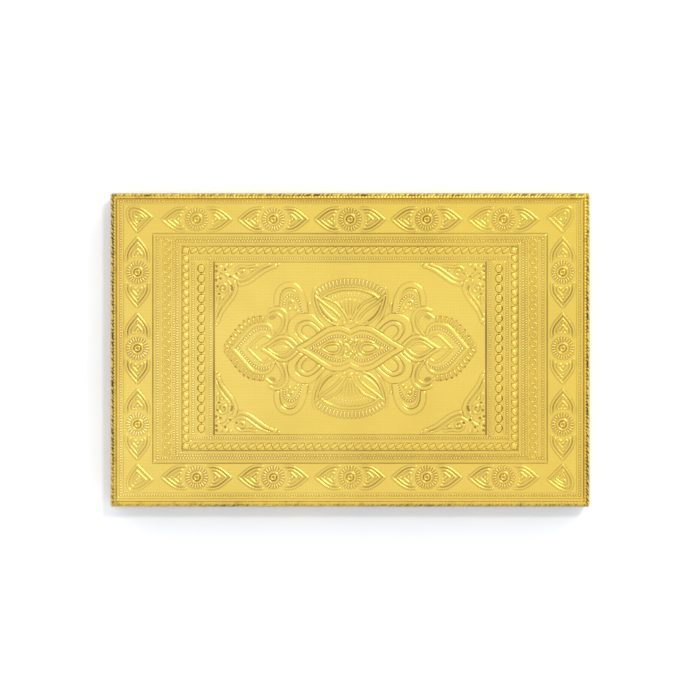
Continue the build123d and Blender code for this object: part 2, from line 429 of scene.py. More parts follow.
# Medallion, quarter with x and y positive
MIDDLE_EYE_BAND = ((16.3, 0.0), (12.6, 2.1), (9.7, 4.1), (7.3, 5.65), (5.1, 6.35), (3.1, 6.4),
                   (1.3, 5.8), (0.0, 5.2))
MIDDLE_EYE_BEADS = ((12.3, 0.2), (9.4, 1.6), (7.0, 3.1), (4.8, 3.8), (2.6, 3.8), (1.2, 3.1))
MIDDLE_EYE_DROP = ((9.0, 0.0), (7.4, 1.1), (5.6, 1.6), (4.0, 1.3), (3.2, 0.0))
MIDDLE_EYE_STROKES = (((0.2, 0.2), (0.9, 1.1), (1.9, 1.6)), ((0.2, 2.9), (1.0, 2.5), (1.7, 2.9)),
                      ((2.2, 0.0), (2.6, 1.5), (3.6, 2.3)), ((4.6, 2.5), (6.2, 2.3), (7.6, 1.7)))
SCROLL_BAND = ((14.9, 1.4), (17.3, 3.3), (18.55, 5.2), (18.3, 7.6), (16.9, 9.2), (14.8, 9.9),
               (12.6, 9.7), (11.0, 8.3), (9.2, 6.4))
SCROLL_EYE = ((13.6, 2.3), (15.4, 3.9), (16.1, 5.6), (15.5, 7.3), (13.6, 8.1), (11.6, 7.2),
              (9.7, 5.4))
MANGO_BAND = ((23.2, 14.2), (23.0, 16.8), (21.9, 19.0), (19.7, 20.1), (17.5, 19.7), (15.9, 18.0),
              (14.9, 15.8), (14.4, 13.4), (14.2, 11.2))
MANGO_INNER = ((21.9, 13.3), (21.7, 16.2), (20.9, 18.1), (19.4, 18.7), (17.8, 18.4), (16.4, 16.9),
               (15.6, 14.9), (15.1, 12.6))
MANGO_BEADS = ((20.9, 13.4), (20.7, 15.2), (19.8, 16.4), (18.5, 16.7), (17.1, 15.8), (16.0, 14.3),
               (15.3, 12.6), (14.9, 11.4))
MANGO_CURL = ((20.0, 13.2), (19.9, 14.6), (19.0, 15.2), (18.1, 14.8), (18.3, 13.9), (19.0, 13.9))
HOOK_BAND = ((25.6, 12.0), (23.6, 12.7), (21.7, 12.3), (20.3, 10.9), (19.9, 8.9), (20.3, 6.7),
             (21.2, 4.9), (22.4, 3.6))
DROP_OUTLINE = ((26.7, 9.6), (24.6, 11.1), (22.8, 10.9), (21.5, 9.6), (21.3, 8.0), (22.0, 6.4),
                (23.7, 3.8))
BRACKET_BAND = ((37.2, 0.0), (34.9, 2.6), (31.5, 6.5), (29.5, 7.5), (27.4, 7.8), (25.7, 7.2),
                (24.7, 5.9), (24.3, 4.6))
BRACKET_BEADS = ((35.5, 0.2), (31.8, 4.4), (29.5, 6.0), (27.4, 6.4), (25.7, 6.0))
BRACKET_SPOTS = ((33.9, 0.3), (31.0, 3.3), (28.9, 4.9), (26.9, 5.4))
BRACKET_INNER = ((32.4, 0.0), (30.0, 2.4), (28.3, 3.9), (26.8, 4.2), (25.4, 3.4))
BRACKET_TEETH = ((39.0, 0.6), (37.6, 2.6), (36.0, 4.6), (34.3, 6.6), (32.1, 8.2), (30.0, 9.0),
                 (27.6, 9.3))
BRACKET_PITS = ((37.7, 3.8), (36.4, 5.8), (35.0, 7.3), (33.7, 8.6), (32.2, 9.4), (30.4, 9.9),
                (28.6, 10.1))
SIDE_EYE_BAND = ((28.2, 0.0), (25.7, 1.5), (23.6, 3.0), (21.6, 3.75), (19.5, 3.3), (17.6, 1.8),
                 (16.0, 0.0))
SIDE_EYE_INNER = ((26.2, 0.0), (24.2, 1.5), (21.9, 2.3), (19.9, 1.7), (18.0, 0.0))
LOTUS_BAND = ((9.0, 16.0), (7.2, 17.3), (4.9, 18.2), (2.5, 18.75), (0.0, 18.9))
LOTUS_TEETH = ((10.4, 17.6), (8.4, 19.1), (5.7, 20.3), (2.9, 20.95), (0.0, 21.1))
LOTUS_PLEATS = ((5.4, 15.8), (3.6, 16.6), (1.8, 17.0), (0.0, 17.1))
LOTUS_RAYS = (((0.0, 15.4), (0.0, 9.6)), ((1.4, 15.2), (0.9, 12.0), (0.3, 9.6)),
              ((2.8, 14.8), (1.8, 12.0), (0.7, 9.6)))
PETAL_INNER = ((8.3, 16.2), (6.4, 15.3), (4.5, 14.4), (3.3, 13.2), (1.9, 11.3), (0.6, 9.2))
PETAL_MIDDLE = ((11.0, 16.6), (8.1, 14.2), (5.4, 12.2), (3.7, 10.6), (2.7, 9.2))
PETAL_OUTER = ((11.0, 16.6), (10.3, 14.0), (9.1, 11.3), (7.6, 9.4), (5.8, 8.1), (4.0, 7.4))
PETAL_NESTED = ((9.6, 14.0), (7.9, 11.7), (6.1, 10.0), (4.3, 8.7))
PETAL_HOLLOW = ((9.9, 13.2), (8.8, 11.5), (7.4, 9.9), (5.8, 8.7))
SHEATH_BAND = ((11.2, 19.0), (11.7, 17.0), (11.5, 14.6), (10.8, 12.1), (9.7, 9.5), (8.0, 6.9))
STEM = ((12.95, 13.6), (12.9, 12.4), (12.8, 11.2))


def stamp_medallion(relief):
    """Central medallion: middle eye, side eyes, brackets, scrolls, mango leaves and lotus."""
    for line, half_width, height in (
            (LOTUS_BAND, 0.5, 0.95), (SHEATH_BAND, 0.42, 0.8), (MANGO_BAND, 0.95, 0.85),
            (HOOK_BAND, 0.6, 0.8), (BRACKET_BAND, 0.6, 0.9), (SCROLL_BAND, 1.25, 0.8),
            (SCROLL_EYE, 0.75, 0.95), (SIDE_EYE_BAND, 0.6, 0.95), (MIDDLE_EYE_BAND, 0.85, 1.0)):
        relief.band(smooth_line(line), half_width, height)
    for line, half_width, height in (
            (MANGO_INNER, 0.3, 0.75), (MANGO_CURL, 0.34, 0.8),
            (DROP_OUTLINE, 0.34, 0.85), (BRACKET_INNER, 0.4, 0.85), (SIDE_EYE_INNER, 0.34, 0.85),
            (PETAL_INNER, 0.34, 0.95), (PETAL_MIDDLE, 0.36, 1.0), (PETAL_OUTER, 0.34, 0.9),
            (PETAL_NESTED, 0.26, 0.6), (STEM, 0.24, 0.7)):
        relief.ridge(smooth_line(line), half_width, height)
    for ray in LOTUS_RAYS:
        relief.ridge(smooth_line(ray), 0.3, 0.6)
    # Patina and painted shade in the petals' hollow and in the drop's dimple
    relief.groove(smooth_line(PETAL_HOLLOW), 0.5, 0.45, patina_and_shade=0.55)
    relief.dimple(24.6, 9.8, 1.5, 0.9, 0.4, turn=-18, patina_and_shade=0.5)
    relief.dome(12.9, 5.5, 2.2, 1.6, height=0.6, turn=30)
    relief.ridge(smooth_line(MIDDLE_EYE_DROP), 0.3, 0.85)
    relief.dome(5.7, 0.0, 1.9, 0.95, height=0.7)
    for stroke in MIDDLE_EYE_STROKES:
        relief.ridge(smooth_line(stroke), 0.24, 0.8)
    relief.dome(22.0, 0.0, 2.4, 1.05, height=0.75)
    relief.dome(0.0, 8.4, 0.95, 0.75, height=0.95)
    for x, y, r in ((0.0, 0.0, 0.6), (0.0, 1.9, 0.55), (1.5, 1.1, 0.45), (1.9, 2.4, 0.5),
                    (9.8, 0.0, 0.45), (11.2, 0.0, 0.35), (12.95, 14.0, 0.45), (19.2, 12.4, 0.5),
                    (17.5, 12.7, 0.5), (16.6, 11.7, 0.42), (29.9, 0.0, 0.5), (15.0, 0.0, 0.3),
                    (2.0, 8.0, 0.45), (24.2, 2.4, 0.4)):
        relief.dome(x, y, r, height=0.85)
    for x, y in BRACKET_PITS:
        relief.pit(x, y, 0.34)


def stamped_quarter(cell):
    """The whole stamping over one quarter of the pattern."""
    relief = Relief(BLOCK_W / 2 - LIP_W + 1, BLOCK_D / 2 - LIP_W + 1, cell)
    relief.frame_ridge(*BORDER_RIDGE, 0.34, 0.9)
    # The grooves get patina and painted shade, by the amounts given
    relief.frame_ridge(*BORDER_GROOVE, 0.3, 0.35, sunk=True, patina_and_shade=0.15)
    for half_w, half_d in FRAME_RIDGES:
        relief.frame_ridge(half_w, half_d, 0.34, 0.85)
    for (half_w, half_d), patina_and_shade in zip(FRAME_GROOVES, (0.0, 0.6, 0.3)):
        relief.frame_ridge(half_w, half_d, 0.32, 0.38, sunk=True, patina_and_shade=patina_and_shade)
    # Patina and painted shade along the groove at each end of the field
    relief.groove(np.array([(FIELD[0], -1.0), (FIELD[0], FIELD[1])]), 0.4, 0.5, patina_and_shade=0.75)
    for x, reach in COLUMN_RIDGES:
        relief.ridge(np.array([(x, -1.0), (x, reach)]), 0.32, 0.8)
    # Channels that the rows of bosses stand in, with patina and painted shade between the bosses
    for half_w, half_d in FRAME_LADDERS:
        relief.frame_ridge(half_w, half_d, 0.6, 0.35, sunk=True, patina_and_shade=0.36)
    relief.frame_ridge(*LEAF_FRAME, 1.15, 0.25, sunk=True, patina_and_shade=0.05)
    relief.frame_ridge(*BORDER_LADDER, 0.5, 0.25, sunk=True, patina_and_shade=0.36)
    x, y = INNER_LADDER
    relief.groove(np.array([(-1.0, y), (INNER_LADDER_END, y)]), 0.6, 0.35, patina_and_shade=0.36)
    for x, reach in (*COLUMN_LADDERS, (x, y)):
        relief.groove(np.array([(x, -1.0), (x, reach)]), 0.6, 0.35, patina_and_shade=0.36)
    for (x, reach), patina_and_shade in ((RING_COLUMN, 0.3), (DISC_COLUMN, 0.05)):
        relief.groove(np.array([(x, -1.0), (x, reach)]), 1.35, 0.35, patina_and_shade=patina_and_shade)
    # Hollows with painted shade, as dark crescents on the outer side of the discs
    count = round(2 * DISC_COLUMN[1] / DISC_PITCH)
    for y in np.linspace(-DISC_COLUMN[1], DISC_COLUMN[1], count + 1):
        if y > -2:
            relief.dimple(DISC_COLUMN[0] + 0.5, y, 1.05, 1.2, 0.4, patina_and_shade=0.9)
    # Patina and painted shade in the grooves under the beads and teeth
    for line in (MIDDLE_EYE_BEADS, MANGO_BEADS, BRACKET_BEADS):
        relief.groove(smooth_line(line), 0.7, 0.3, patina_and_shade=0.45)
    for line in (LOTUS_TEETH, BRACKET_TEETH):
        relief.groove(smooth_line(line), 1.5, 0.25, patina_and_shade=0.3)
    for place in eye_places():
        stamp_eye(relief, *place)
    stamp_corner_leaf(relief)
    stamp_spandrel(relief)
    stamp_medallion(relief)
    return relief


def blurred(heights, cells):
    """Box blur, twice, by a whole number of cells each way."""
    for _ in range(2):
        for axis in (0, 1):
            total = np.zeros_like(heights)
            for shift in range(-cells, cells + 1):
                index = np.clip(np.arange(heights.shape[axis]) + shift, 0, heights.shape[axis] - 1)
                total += np.take(heights, index, axis=axis)
            heights = total / (2 * cells + 1)
    return heights


# --- Mesh helpers -------------------------------------------
def linked(name, data):
    """New object in the scene."""
    made = bpy.data.objects.new(name, data)
    bpy.context.scene.collection.objects.link(made)
    return made


def new_object(name, vertices, faces, material):
    """Object at the origin from places in millimetres."""
    mesh = bpy.data.meshes.new(name)
    mesh.from_pydata((np.asarray(vertices, float) * MM).tolist(), [], faces)
    mesh.shade_smooth()
    mesh.materials.append(bpy.data.materials[material])
    return linked(name, mesh)


def mark_hollows(piece, hollows):
    """Keep how hollow each vertex lies, for the patina and painted shade."""
    layer = piece.data.attributes.new("hollow", "FLOAT", "POINT")
    values = np.zeros(len(piece.data.vertices), np.float32)
    values[:len(hollows)] = hollows
    layer.data.foreach_set("value", values)


def settle(piece, node):
    """Fix a finished piece to the block, in the place of a CAD node."""
    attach(piece, "root")
    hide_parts(node)


def sheet_panel(name, xs, ys, heights, hollows):
    """Closed slab of the top sheet under one rectangle of the relief."""
    rows, columns = heights.shape
    x, y = np.meshgrid(xs, ys)
    top = np.column_stack([x.ravel(), y.ravel() + PATTERN_Y, heights.ravel()])
    index = np.arange(rows * columns).reshape(rows, columns)
    quads = np.stack([index[:-1, :-1], index[:-1, 1:], index[1:, 1:], index[1:, :-1]], axis=-1)
    rim = np.concatenate([index[0, :-1], index[:-1, -1], index[-1, :0:-1], index[:0:-1, 0]])
    base = top[rim] * (1, 1, 0) + (0, 0, SHEET_BASE_Z)
    low = rows * columns + np.arange(len(rim))
    walls = np.stack([np.roll(rim, -1), rim, low, np.roll(low, -1)], axis=-1)
    faces = [*quads.reshape(-1, 4).tolist(), *walls.tolist(), low[::-1].tolist()]
    piece = new_object(name, np.vstack([top, base]), faces, "Stamped brass")
    smooth = np.ones(len(faces), bool)
    smooth[quads.size // 4:] = False
    piece.data.polygons.foreach_set("use_smooth", smooth)
    piece.data.set_sharp_from_angle(angle=math.radians(75))
    mark_hollows(piece, hollows.ravel())
    return piece


# --- Nodes --------------------------------------------------
class Wire:
    """A node's output; sums and products of wires add Math nodes."""

    def __init__(self, maker, socket):
        self.maker = maker
        self.socket = socket

    def other(self, name):
        """Another output of the same node."""
        return Wire(self.maker, self.socket.node.outputs[name])

    def maths(self, operation, first, second):
        """A Math node of two wires or numbers."""
        return self.maker.node("ShaderNodeMath", {"operation": operation}, {0: first, 1: second})

    def __add__(self, other):
        return self.maths("ADD", self, other)

    def __radd__(self, other):
        return self.maths("ADD", other, self)

    def __mul__(self, other):
        return self.maths("MULTIPLY", self, other)

    def __rmul__(self, other):
        return self.maths("MULTIPLY", other, self)


class NodeMaker:
    """Adds nodes to a tree."""

    def __init__(self, tree):
        self.tree = tree

    def node(self, kind, settings=None, inputs=None, output=0):
        """Add a node: its settings first, then the values or wires of its sockets."""
        node = self.tree.nodes.new(kind)
        for key, value in (settings or {}).items():
            setattr(node, key, value)
        for key, value in (inputs or {}).items():
            if isinstance(value, Wire):
                self.tree.links.new(value.socket, node.inputs[key])
            else:
                node.inputs[key].default_value = value
        return Wire(self, node.outputs[output])


# --- Rows of small bosses, by geometry nodes ----------------
class Grower(NodeMaker):
    """A node tree that sets a shape at an even pitch along every line of a mesh."""

    def __init__(self, name, inputs):
        super().__init__(bpy.data.node_groups.new(name, "GeometryNodeTree"))
        interface = self.tree.interface
        interface.new_socket("Lines", in_out="INPUT", socket_type="NodeSocketGeometry")
        for socket, (kind, default) in {"Pitch": ("Float", 1.0 * MM), **inputs}.items():
            made = interface.new_socket(socket, in_out="INPUT", socket_type="NodeSocket" + kind)
            made.default_value = default
        interface.new_socket("Material", in_out="INPUT", socket_type="NodeSocketMaterial")
        interface.new_socket("Result", in_out="OUTPUT", socket_type="NodeSocketGeometry")
        self.given = self.node("NodeGroupInput")
        curve = self.node("GeometryNodeMeshToCurve", {}, {"Mesh": self.given})
        spaced = self.node("GeometryNodeResampleCurve", {"mode": "LENGTH"}, {
            "Curve": curve, "Length": self.given.other("Pitch")})
        self.points = self.node("GeometryNodeCurveToPoints", {"mode": "EVALUATED"},
                                {"Curve": spaced})

    def grow(self, shape, placing):
        """Put the shape on the points, make it real and paint it."""
        placed_shapes = self.node("GeometryNodeInstanceOnPoints", {}, {
            "Points": self.points, "Instance": shape, **placing})
        real = self.node("GeometryNodeRealizeInstances", {}, {"Geometry": placed_shapes})
        smooth = self.node("GeometryNodeSetShadeSmooth", {}, {"Geometry": real})
        painted = self.node("GeometryNodeSetMaterial", {}, {
            "Geometry": smooth, "Material": self.given.other("Material")})
        result = self.tree.nodes.new("NodeGroupOutput")
        self.tree.links.new(painted.socket, result.inputs["Result"])
        return self.tree


def boss_row_tree():
    """Rounded bosses at an even pitch along every line of a mesh, turned to follow it."""
    g = Grower("Row of bosses", {"Size": ("Vector", (0.2 * MM, 0.2 * MM, 0.2 * MM)),
                                 "Turn": ("Float", 0.0), "Segments": ("Int", 8)})
    follow = g.node("FunctionNodeAlignRotationToVector", {"axis": "X", "pivot_axis": "Z"},
                    {"Vector": g.points.other("Tangent")})
    turn = g.node("ShaderNodeCombineXYZ", {}, {"Z": g.given.other("Turn")})
    rotated = g.node("FunctionNodeRotateRotation", {"rotation_space": "LOCAL"},
                     {"Rotation": follow, "Rotate By": turn})
    boss = g.node("GeometryNodeMeshUVSphere", {}, {"Segments": g.given.other("Segments"),
                                                   "Rings": 4})
    return g.grow(boss, {"Rotation": rotated, "Scale": g.given.other("Size")})


def ring_row_tree():
    """Round wire rings at an even pitch along every line of a mesh."""
    g = Grower("Row of rings", {"Radius": ("Float", 1.0 * MM), "Wire": ("Float", 0.3 * MM)})
    loop, wire = (g.node("GeometryNodeCurvePrimitiveCircle", {}, {
        "Resolution": steps, "Radius": g.given.other(radius)})
        for steps, radius in ((16, "Radius"), (8, "Wire")))
    return g.grow(g.node("GeometryNodeCurveToMesh", {}, {"Curve": loop, "Profile Curve": wire}),
                  {})


def grown(name, tree, paths, height, values):
    """Plain mesh that a node tree grows along paths, which lie at a height in millimetres."""
    vertices, edges = [], []
    for path in paths:
        start = len(vertices)
        closed = np.allclose(path[0], path[-1])
        points = path[:-1] if closed else path
        vertices += [(x * MM, (y + PATTERN_Y) * MM, height * MM) for x, y in points]
        edges += [(start + i, start + i + 1) for i in range(len(points) - 1)]
        if closed:
            edges.append((len(vertices) - 1, start))
    lines = bpy.data.meshes.new(name)
    lines.from_pydata(vertices, edges, [])
    carrier = linked(name, lines)
    modifier = carrier.modifiers.new("grow", "NODES")
    modifier.node_group = tree
    for item in tree.interface.items_tree:
        if item.item_type == "SOCKET" and item.in_out == "INPUT" and item.name in values:
            modifier[item.identifier] = values[item.name]
    evaluated = carrier.evaluated_get(bpy.context.evaluated_depsgraph_get())
    mesh = bpy.data.meshes.new_from_object(evaluated)
    mesh.name = name
    carrier.modifiers.clear()
    carrier.data = mesh
    bpy.data.meshes.remove(lines)
    return carrier


# Bosses take the paler brass by default, a painted highlight
def bosses(name, paths, pitch, size, turn=0.0, segments=8, material="Burnished brass"):
    """Row of bosses; size is along the line, across it and up, in millimetres."""
    tree = bpy.data.node_groups.get("Row of bosses") or boss_row_tree()
    half = tuple(0.5 * s * MM for s in size[:2]) + (size[2] * MM,)
    values = {"Pitch": pitch * MM, "Size": half, "Turn": math.radians(turn), "Segments": segments,
              "Material": bpy.data.materials[material]}
    settle(grown(name, tree, paths, FLAT_Z, values), "top_sheet")


def frame_paths(half_w, half_d):
    """Four sides of a rectangular frame, each as its own line."""
    a, b, c, d = (-half_w, -half_d), (half_w, -half_d), (half_w, half_d), (-half_w, half_d)
    return [np.array(side, float) for side in ((a, b), (b, c), (c, d), (d, a))]


def column_paths(x, half_d):
    """The same upright line at both ends of the block."""
    return [np.array([(side * x, -half_d), (side * x, half_d)]) for side in (-1, 1)]


# --- Finishes -----------------------------------------------
class Finish(NodeMaker):
    """A material under construction."""

    def __init__(self, name, **constants):
        self.material = bpy.data.materials.new(name)
        self.material.use_nodes = True
        super().__init__(self.material.node_tree)
        self.shader = self.tree.nodes["Principled BSDF"]
        for socket, value in constants.items():
            self.shader.inputs[socket.replace("_", " ")].default_value = value

    def feed(self, socket, wire):
        """Let a wire drive a socket of the shader."""
        self.tree.links.new(wire.socket, self.shader.inputs[socket])

    def place(self, scale=(1, 1, 1), turn=(0, 0, 0)):
        """Object coordinates, scaled and turned."""
        here = self.node("ShaderNodeTexCoord", output="Object")
        return self.node("ShaderNodeMapping", {}, {
            "Vector": here, "Scale": scale, "Rotation": turn})

    def noise(self, scale, detail=2.0, rough=0.5, stretch=(1, 1, 1)):
        """Cloudy value; scale is in clouds to the metre."""
        return self.node("ShaderNodeTexNoise", {}, {
            "Vector": self.place(stretch), "Scale": scale, "Detail": detail, "Roughness": rough})

    def ramp(self, value, low, high, start=0.0, end=1.0):
        """Value brought from low..high to start..end, and held there."""
        return self.node("ShaderNodeMapRange", {"clamp": True}, {
            "Value": value, "From Min": low, "From Max": high, "To Min": start, "To Max": end})

    def mix(self, amount, first, second):
        """Colour between two colours."""
        return self.node("ShaderNodeMix", {"data_type": "RGBA"}, {
            "Factor": amount, 6: first, 7: second}, output=2)

    def bump(self, height, distance, strength=1.0, under=None):
        """Normal that follows a height, over another bump where one is given."""
        inputs = {"Height": height, "Distance": distance, "Strength": strength}
        if under:
            inputs["Normal"] = under
        return self.node("ShaderNodeBump", {}, inputs)


def rgba(colour, gain=1.0):
    """Opaque colour, brightened by gain."""
    return (*(min(1.0, c * gain) for c in colour), 1.0)


def brass_finish(name, colours, base=None, patina_shade=0.7, roughness=0.21, spots=0.0, patina_and_shade_gain=1.0):
    """Lacquered gold-toned brass: two tones, patina and painted shade in the hollows, faint laid
    lines.
    """
    f = Finish(name, Metallic=1.0, Coat_Weight=0.5, Coat_Roughness=0.12)
    base = base or colours.brass
    broad = f.ramp(f.noise(14.0, 1.0), 0.35, 0.65)
    fine = f.noise(900.0, 3.0, 0.6)
    hollow = f.node("ShaderNodeAttribute", {"attribute_name": "hollow"}, output="Fac")
    tone = f.mix(broad, rgba(base), rgba(colours.warm_brass))
    # Deeper, more orange tone towards the back right corner
    here = f.node("ShaderNodeSeparateXYZ", {}, {"Vector": f.place()})
    deep = here + here.other("Y") * 1.2
    tone = f.mix(f.ramp(deep, -0.03, 0.14, 0.0, 0.8), tone, rgba(colours.deep_brass))
    tone = f.mix(f.ramp(fine, 0.35, 0.7, 0.0, 0.18), tone, rgba(base, 1.08))
    # Patina and painted shade in the hollows, by the hollow attribute, in cloudy strength
    patina_and_shade = f.ramp(hollow, 0.12, 0.7) * f.ramp(f.noise(38.0, 2.0), 0.35, 0.65, 0.7, 1.3) * patina_shade
    if spots:
        patina_and_shade = patina_and_shade + f.ramp(f.noise(420.0, 4.0, 0.65), 0.5, 0.72, 0.0, spots)
    laid_x, laid_y = (f.node("ShaderNodeTexWave", {"bands_direction": way}, {
        "Vector": f.place(), "Scale": scale, "Distortion": 2.5, "Detail": 1.0})
        for way, scale in (("X", 330.0), ("Y", 310.0)))
    laid = laid_x + laid_y
    tone = f.mix(f.ramp(laid, 0.3, 1.7, 0.0, 0.45), tone, rgba(base, 0.86))
    tone = f.mix(f.ramp(f.noise(75.0, 2.0), 0.4, 0.7, 0.0, 0.3), tone,
                 rgba(colours.warm_brass, 0.88))
    f.feed("Base Color", f.mix(f.ramp(patina_and_shade, 0.0, 1.0), tone, rgba(colours.patina_shade, patina_and_shade_gain)))
    f.feed("Roughness", f.ramp(f.noise(260.0, 3.0), 0.3, 0.7, roughness - 0.04, roughness + 0.05)
           + patina_and_shade * 0.12)
    grain = f.noise(2600.0, 2.0)
    f.feed("Normal", f.bump(laid + grain * 0.6, 0.007 * MM, 0.7,
                            f.bump(f.noise(160.0, 2.0), 0.05 * MM, 0.35)))
    return f.material


def wood_finish(colours):
    """Planed hardwood, its grain along the block."""
    f = Finish("Core wood", Roughness=0.62)
    grain = f.node("ShaderNodeTexWave", {"bands_direction": "Y"}, {
        "Vector": f.place((0.12, 1.0, 1.0)), "Scale": 90.0, "Distortion": 7.0, "Detail": 3.0,
        "Detail Scale": 1.4})
    pores = f.noise(1400.0, 2.0, 0.6, (0.05, 1.0, 1.0))
    tone = f.mix(f.ramp(grain, 0.1, 0.9), rgba(colours.wood, 0.72), rgba(colours.wood, 1.25))
    f.feed("Base Color", f.mix(f.ramp(pores, 0.55, 0.75, 0.0, 0.6), tone, rgba(colours.wood, 0.4)))
    f.feed("Roughness", f.ramp(pores, 0.3, 0.7, 0.52, 0.72))
    f.feed("Normal", f.bump(grain + pores, 0.05 * MM, 0.5))
    return f.material


def board_finish(colours):
    """Dark pressed board with short fibres."""
    f = Finish("Panel board")
    fibres = f.noise(1100.0, 3.0, 0.7, (1.0, 0.35, 1.0))
    f.feed("Base Color", f.mix(f.ramp(fibres, 0.35, 0.68), rgba(colours.wood, 0.3),
                               rgba(colours.wood, 0.75)))
    f.feed("Roughness", f.ramp(fibres, 0.3, 0.7, 0.6, 0.82))
    f.feed("Normal", f.bump(fibres, 0.06 * MM, 0.6))
    return f.material


def steel_finish(name, tone, roughness, scale_marks):
    """Steel with a drawn grain, and mill scale where asked."""
    f = Finish(name, Metallic=1.0)
    drawn = f.noise(1500.0, 3.0, 0.6, (0.04, 1.0, 1.0))
    scale = f.ramp(f.noise(90.0, 5.0, 0.65), 0.45, 0.62, 0.0, scale_marks)
    f.feed("Base Color", f.mix(scale, (tone, tone, tone * 1.02, 1.0), (0.1, 0.1, 0.12, 1.0)))
    f.feed("Roughness", f.ramp(drawn, 0.3, 0.7, roughness - 0.07, roughness + 0.07) + scale * 0.2)
    f.feed("Normal", f.bump(drawn, 0.02 * MM, 0.4))
    return f.material


def felt_finish(colours):
    """Matted wool felt: crossed hairs over a mottled ground."""
    f = Finish("Felt", Roughness=0.95, Sheen_Weight=0.15, Sheen_Roughness=0.6)
    hairs = (f.noise(1900.0, 4.0, 0.75, (1.0, 0.3, 1.0))
             + f.noise(1700.0, 4.0, 0.75, (0.3, 1.0, 1.0)))
    mottle = f.noise(220.0, 3.0)
    tone = f.mix(f.ramp(hairs, 0.8, 1.2), rgba(colours.felt, 0.55), rgba(colours.felt, 1.7))
    f.feed("Base Color", f.mix(f.ramp(mottle, 0.35, 0.65, 0.0, 0.35), tone,
                               rgba(colours.felt, 2.2)))
    f.feed("Normal", f.bump(hairs, 0.25 * MM, 0.9))
    return f.material


def pale_ground():
    """Pale studio floor with the faintest tooth."""
    f = Finish("Pale floor", Roughness=0.9, Specular_IOR_Level=0.1)
    f.feed("Base Color", f.mix(f.noise(30.0, 2.0), (0.945, 0.96, 0.98, 1.0),
                               (0.96, 0.975, 0.995, 1.0)))
    return f.material


# --- Side strips --------------------------------------------
def strip_outside(cell):
    """Outside of a strip from the lip's hem round to the flange: rows of inset and height."""
    lip, bend = STRIP_TOP_Z, BASE_BEND_R
    corners = [(LIP_W, lip - SHEET_T), (LIP_W, lip - 0.1), (LIP_W - 0.1, lip)]
    corners += [(ARRIS_R * (1 - math.sin(a)), lip - ARRIS_R * (1 - math.cos(a)))
                for a in np.linspace(0, math.pi / 2, 9)]
    corners += [(bend * (1 - math.cos(a)), STRIP_BASE_Z + bend * (1 - math.sin(a)))
                for a in np.linspace(0, math.pi / 2, 4)]
    corners = np.array([*corners, (FLANGE_W, STRIP_BASE_Z)])
    lengths = np.linalg.norm(np.diff(corners, axis=0), axis=1)
    points = [corners[:1]]
    for a, b, length in zip(corners, corners[1:], lengths):
        steps = 3 if b[0] == FLANGE_W else max(1, round(length / cell))
        points.append(a + (b - a) * np.arange(1, steps + 1)[:, None] / steps)
    return np.vstack(points)


def strip_inside():
    """Inside of a strip, from the lip's hem round to the flange."""
    low, high = STRIP_BASE_Z + SHEET_T, STRIP_TOP_Z - SHEET_T
    return np.array([(LIP_W, high), (ARRIS_R, high), (0.8, high - 0.25), (SHEET_T, high - 1.0),
                     (SHEET_T, low + 0.2), (SHEET_T + 0.2, low), (FLANGE_W, low)])


def cosine_ridge(offset, half_width):
    """Rounded ridge, 1 where offset is 0."""
    return np.cos(np.clip(np.abs(offset) / half_width, 0, 1) * math.pi / 2) ** 1.5


def round_boss(along, across, radius_along, radius_across):
    """Half an oval ball, 1 at its top."""
    return np.sqrt(np.clip(1 - (along / radius_along) ** 2 - (across / radius_across) ** 2, 0, 1))


STRIP_LINES = (3.9, 5.6, 16.9, 18.6)    # all measured down the strip from its hem
STRIP_BEADS = (4.75, 17.75)
HEM_BEADS = 0.85
ROPE_MIDDLE = 2.1
VINE_MIDDLE = 11.25
VINE_RISE = 2.9
VINE_WAVE = 12.6                        # length of a wave, before it is fitted to the side
# Leaves of the vine from the middle of a wave's lap: along, down and lean
VINE_LEAVES = ((-2.5, -3.6, 0.8), (2.5, -3.6, -0.8), (0.0, -4.3, 0.0), (-2.2, 0.4, -0.6),
               (2.2, 0.4, 0.6), (-1.3, 4.3, 1.0), (1.3, 4.3, -1.0))


